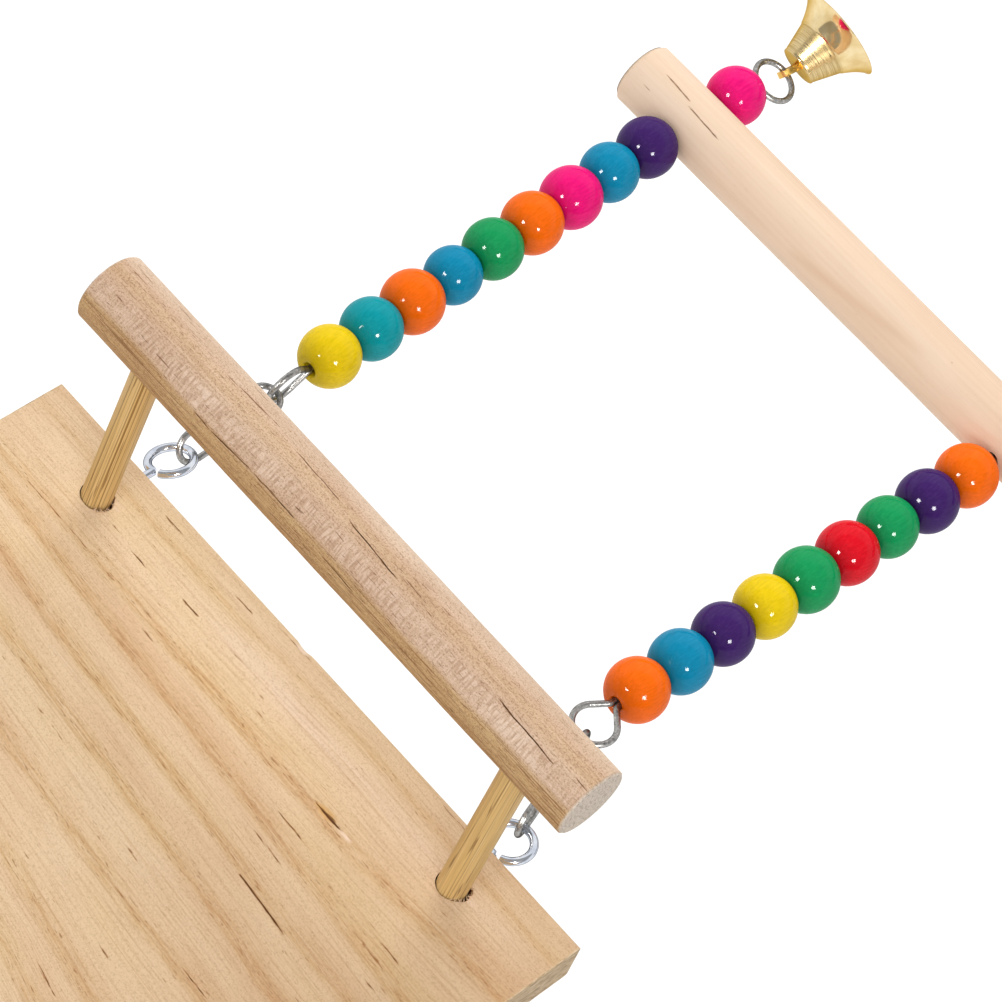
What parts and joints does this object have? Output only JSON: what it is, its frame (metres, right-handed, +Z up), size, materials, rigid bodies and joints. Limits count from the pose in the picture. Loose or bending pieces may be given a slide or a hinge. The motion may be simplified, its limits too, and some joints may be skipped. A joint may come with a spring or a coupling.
{
  "type": "bird perch stand",
  "caption": "Flat pine perch platform with a dowel rail on pegs and a chain-hung swing of beaded wires, a perch dowel and brass bells; clamps to a cage wall at its rear edge.",
  "frame": {"origin": "middle of the platform board's underside, on the surface that the stand lies on", "axes": "+X along the board and both perches, +Y from the board out to the swing and its bells, +Z up"},
  "size_m": [0.171, 0.3926, 0.0734],
  "materials": {
    "pine": "bare, planed, sawn ends",
    "rail_wood": "bare, coarse grain",
    "dowel_wood": "bare, smooth",
    "bamboo": "bare, split fibres",
    "zinc": "bright zinc plate on steel",
    "steel": "drawn wire, dull",
    "brass": "polished",
    "bead_yellow": "gloss lacquer on turned wood",
    "bead_teal": "gloss lacquer on turned wood",
    "bead_orange": "gloss lacquer on turned wood",
    "bead_blue": "gloss lacquer on turned wood",
    "bead_green": "gloss lacquer on turned wood",
    "bead_pink": "gloss lacquer on turned wood",
    "bead_purple": "gloss lacquer on turned wood",
    "bead_red": "gloss lacquer on turned wood"
  },
  "bodies": {
    "stand": {"platform_board": "pine", "rail_perch": "rail_wood", "left_peg": "bamboo", "left_screw_eye": "zinc", "left_stud": "zinc", "left_inner_washer": "zinc", "right_peg": "bamboo", "right_screw_eye": "zinc", "right_stud": "zinc", "right_inner_washer": "zinc"},
    "left_link_1": {"left_link_1": "steel"},
    "left_link_2": {"left_link_2": "steel"},
    "left_link_3": {"left_link_3": "steel"},
    "right_link_1": {"right_link_1": "steel"},
    "right_link_2": {"right_link_2": "steel"},
    "right_link_3": {"right_link_3": "steel"},
    "swing": {"swing_perch": "dowel_wood", "left_hanger_wire": "steel", "right_hanger_wire": "steel"},
    "left_bell": {"left_bell": "brass", "left_bell_strap": "brass"},
    "left_clapper": {"left_clapper": "brass"},
    "left_outer_washer": {"left_outer_washer": "zinc"},
    "left_wing_nut": {"left_wing_nut": "zinc"},
    "right_bell": {"right_bell": "brass", "right_bell_strap": "brass"},
    "right_clapper": {"right_clapper": "brass"},
    "right_outer_washer": {"right_outer_washer": "zinc"},
    "right_wing_nut": {"right_wing_nut": "zinc"},
    "left_bead_1": {"left_bead_1": "bead_yellow"},
    "left_bead_2": {"left_bead_2": "bead_teal"},
    "left_bead_3": {"left_bead_3": "bead_orange"},
    "left_bead_4": {"left_bead_4": "bead_blue"},
    "left_bead_5": {"left_bead_5": "bead_green"},
    "left_bead_6": {"left_bead_6": "bead_orange"},
    "left_bead_7": {"left_bead_7": "bead_pink"},
    "left_bead_8": {"left_bead_8": "bead_blue"},
    "left_bead_9": {"left_bead_9": "bead_purple"},
    "left_lower_bead": {"left_lower_bead": "bead_pink"},
    "right_bead_1": {"right_bead_1": "bead_orange"},
    "right_bead_2": {"right_bead_2": "bead_blue"},
    "right_bead_3": {"right_bead_3": "bead_purple"},
    "right_bead_4": {"right_bead_4": "bead_yellow"},
    "right_bead_5": {"right_bead_5": "bead_green"},
    "right_bead_6": {"right_bead_6": "bead_red"},
    "right_bead_7": {"right_bead_7": "bead_green"},
    "right_bead_8": {"right_bead_8": "bead_purple"},
    "right_bead_9": {"right_bead_9": "bead_orange"},
    "right_lower_bead": {"right_lower_bead": "bead_blue"}
  },
  "joints": [
    {"name": "swing_down", "type": "hinge", "parent": "stand", "child": "swing", "pos_m": [-0.05904, 0.07811, 0.00638], "axis": [0.9998, -0.0211, -0.0002], "range_deg": [-100, 15]},
    {"name": "left_chain_swing", "type": "hinge", "parent": "stand", "child": "left_link_1", "pos_m": [-0.05904, 0.07811, 0.00638], "axis": [0.9998, -0.0211, -0.0002], "range_deg": [-101, 16]},
    {"name": "right_chain_swing", "type": "hinge", "parent": "stand", "child": "right_link_1", "pos_m": [0.05506, 0.07571, 0.00636], "axis": [0.9998, -0.0211, -0.0002], "range_deg": [-101, 16]},
    {"name": "left_link_2_roll", "type": "hinge", "parent": "left_link_1", "child": "left_link_2", "pos_m": [-0.05909, 0.08547, 0.00692], "axis": [-0.0074, 0.9973, 0.0735], "range_deg": [-15, 15]},
    {"name": "left_link_3_roll", "type": "hinge", "parent": "left_link_2", "child": "left_link_3", "pos_m": [-0.05916, 0.09419, 0.00756], "axis": [-0.0074, 0.9973, 0.0735], "range_deg": [-15, 15]},
    {"name": "right_link_2_roll", "type": "hinge", "parent": "right_link_1", "child": "right_link_2", "pos_m": [0.0528, 0.08341, 0.00692], "axis": [-0.281, 0.9572, 0.0698], "range_deg": [-15, 15]},
    {"name": "right_link_3_roll", "type": "hinge", "parent": "right_link_2", "child": "right_link_3", "pos_m": [0.05021, 0.09222, 0.00756], "axis": [-0.281, 0.9572, 0.0698], "range_deg": [-15, 15]},
    {"name": "left_bell_swing", "type": "hinge", "parent": "swing", "child": "left_bell", "pos_m": [-0.06346, 0.27823, 0.00528], "axis": [0.9981, -0.061, 0], "range_deg": [-18, 60]},
    {"name": "right_bell_swing", "type": "hinge", "parent": "swing", "child": "right_bell", "pos_m": [0.0466, 0.27823, 0.00528], "axis": [0.9981, 0.061, 0], "range_deg": [-18, 60]},
    {"name": "left_clapper_swing", "type": "hinge", "parent": "left_bell", "child": "left_clapper", "pos_m": [-0.06302, 0.2854, 0.00681], "axis": [0.9981, -0.061, 0], "range_deg": [0, 72]},
    {"name": "right_clapper_swing", "type": "hinge", "parent": "right_bell", "child": "right_clapper", "pos_m": [0.04616, 0.2854, 0.00681], "axis": [0.9981, 0.061, 0], "range_deg": [0, 72]},
    {"name": "left_nut_turn", "type": "hinge", "parent": "left_outer_washer", "child": "left_wing_nut", "pos_m": [-0.045, -0.07, 0.006], "axis": [0, -1, 0], "range_deg": [-1805, 3606]},
    {"name": "left_washer_slide", "type": "slide", "parent": "stand", "child": "left_outer_washer", "axis": [0, -1, 0], "range_m": [-0.004, 0.008]},
    {"name": "right_nut_turn", "type": "hinge", "parent": "right_outer_washer", "child": "right_wing_nut", "pos_m": [0.045, -0.07, 0.006], "axis": [0, -1, 0], "range_deg": [-1805, 3606]},
    {"name": "right_washer_slide", "type": "slide", "parent": "stand", "child": "right_outer_washer", "axis": [0, -1, 0], "range_m": [-0.004, 0.008]},
    {"name": "left_bead_1_spin", "type": "hinge", "parent": "swing", "child": "left_bead_1", "pos_m": [-0.05979, 0.12087, 0.0085], "axis": [0.0384, -0.9993, 0], "continuous": true},
    {"name": "left_bead_2_spin", "type": "hinge", "parent": "swing", "child": "left_bead_2", "pos_m": [-0.0603, 0.13429, 0.0085], "axis": [0.0384, -0.9993, 0], "continuous": true},
    {"name": "left_bead_3_spin", "type": "hinge", "parent": "swing", "child": "left_bead_3", "pos_m": [-0.06082, 0.14771, 0.0085], "axis": [0.0384, -0.9993, 0], "continuous": true},
    {"name": "left_bead_4_spin", "type": "hinge", "parent": "swing", "child": "left_bead_4", "pos_m": [-0.06134, 0.16113, 0.0085], "axis": [0.0384, -0.9993, 0], "continuous": true},
    {"name": "left_bead_5_spin", "type": "hinge", "parent": "swing", "child": "left_bead_5", "pos_m": [-0.06185, 0.17455, 0.0085], "axis": [0.0384, -0.9993, 0], "continuous": true},
    {"name": "left_bead_6_spin", "type": "hinge", "parent": "swing", "child": "left_bead_6", "pos_m": [-0.06237, 0.18797, 0.0085], "axis": [0.0384, -0.9993, 0], "continuous": true},
    {"name": "left_bead_7_spin", "type": "hinge", "parent": "swing", "child": "left_bead_7", "pos_m": [-0.06288, 0.20139, 0.0085], "axis": [0.0384, -0.9993, 0], "continuous": true},
    {"name": "left_bead_8_spin", "type": "hinge", "parent": "swing", "child": "left_bead_8", "pos_m": [-0.0634, 0.21481, 0.0085], "axis": [0.0384, -0.9993, 0], "continuous": true},
    {"name": "left_bead_9_spin", "type": "hinge", "parent": "swing", "child": "left_bead_9", "pos_m": [-0.06391, 0.22823, 0.0085], "axis": [0.0384, -0.9993, 0], "continuous": true},
    {"name": "left_lower_bead_spin", "type": "hinge", "parent": "swing", "child": "left_lower_bead", "pos_m": [-0.06355, 0.25898, 0.0085], "axis": [0.061, 0.9981, 0], "continuous": true},
    {"name": "right_bead_1_spin", "type": "hinge", "parent": "swing", "child": "right_bead_1", "pos_m": [0.04546, 0.11931, 0.0085], "axis": [-0.0244, -0.9997, 0], "continuous": true},
    {"name": "right_bead_2_spin", "type": "hinge", "parent": "swing", "child": "right_bead_2", "pos_m": [0.04579, 0.13274, 0.0085], "axis": [-0.0244, -0.9997, 0], "continuous": true},
    {"name": "right_bead_3_spin", "type": "hinge", "parent": "swing", "child": "right_bead_3", "pos_m": [0.04612, 0.14617, 0.0085], "axis": [-0.0244, -0.9997, 0], "continuous": true},
    {"name": "right_bead_4_spin", "type": "hinge", "parent": "swing", "child": "right_bead_4", "pos_m": [0.04645, 0.15959, 0.0085], "axis": [-0.0244, -0.9997, 0], "continuous": true},
    {"name": "right_bead_5_spin", "type": "hinge", "parent": "swing", "child": "right_bead_5", "pos_m": [0.04678, 0.17302, 0.0085], "axis": [-0.0244, -0.9997, 0], "continuous": true},
    {"name": "right_bead_6_spin", "type": "hinge", "parent": "swing", "child": "right_bead_6", "pos_m": [0.04711, 0.18644, 0.0085], "axis": [-0.0244, -0.9997, 0], "continuous": true},
    {"name": "right_bead_7_spin", "type": "hinge", "parent": "swing", "child": "right_bead_7", "pos_m": [0.04743, 0.19987, 0.0085], "axis": [-0.0244, -0.9997, 0], "continuous": true},
    {"name": "right_bead_8_spin", "type": "hinge", "parent": "swing", "child": "right_bead_8", "pos_m": [0.04776, 0.2133, 0.0085], "axis": [-0.0244, -0.9997, 0], "continuous": true},
    {"name": "right_bead_9_spin", "type": "hinge", "parent": "swing", "child": "right_bead_9", "pos_m": [0.04809, 0.22672, 0.0085], "axis": [-0.0244, -0.9997, 0], "continuous": true},
    {"name": "right_lower_bead_spin", "type": "hinge", "parent": "swing", "child": "right_lower_bead", "pos_m": [0.04755, 0.25898, 0.0085], "axis": [-0.061, 0.9981, 0], "continuous": true}
  ],
  "couplings": [
    {"joint": "left_chain_swing", "follows": "swing_down", "ratio": 1},
    {"joint": "right_chain_swing", "follows": "swing_down", "ratio": 1},
    {"joint": "left_nut_turn", "follows": "left_washer_slide", "rad_per_m": 7854},
    {"joint": "right_nut_turn", "follows": "right_washer_slide", "rad_per_m": 7854}
  ]
}
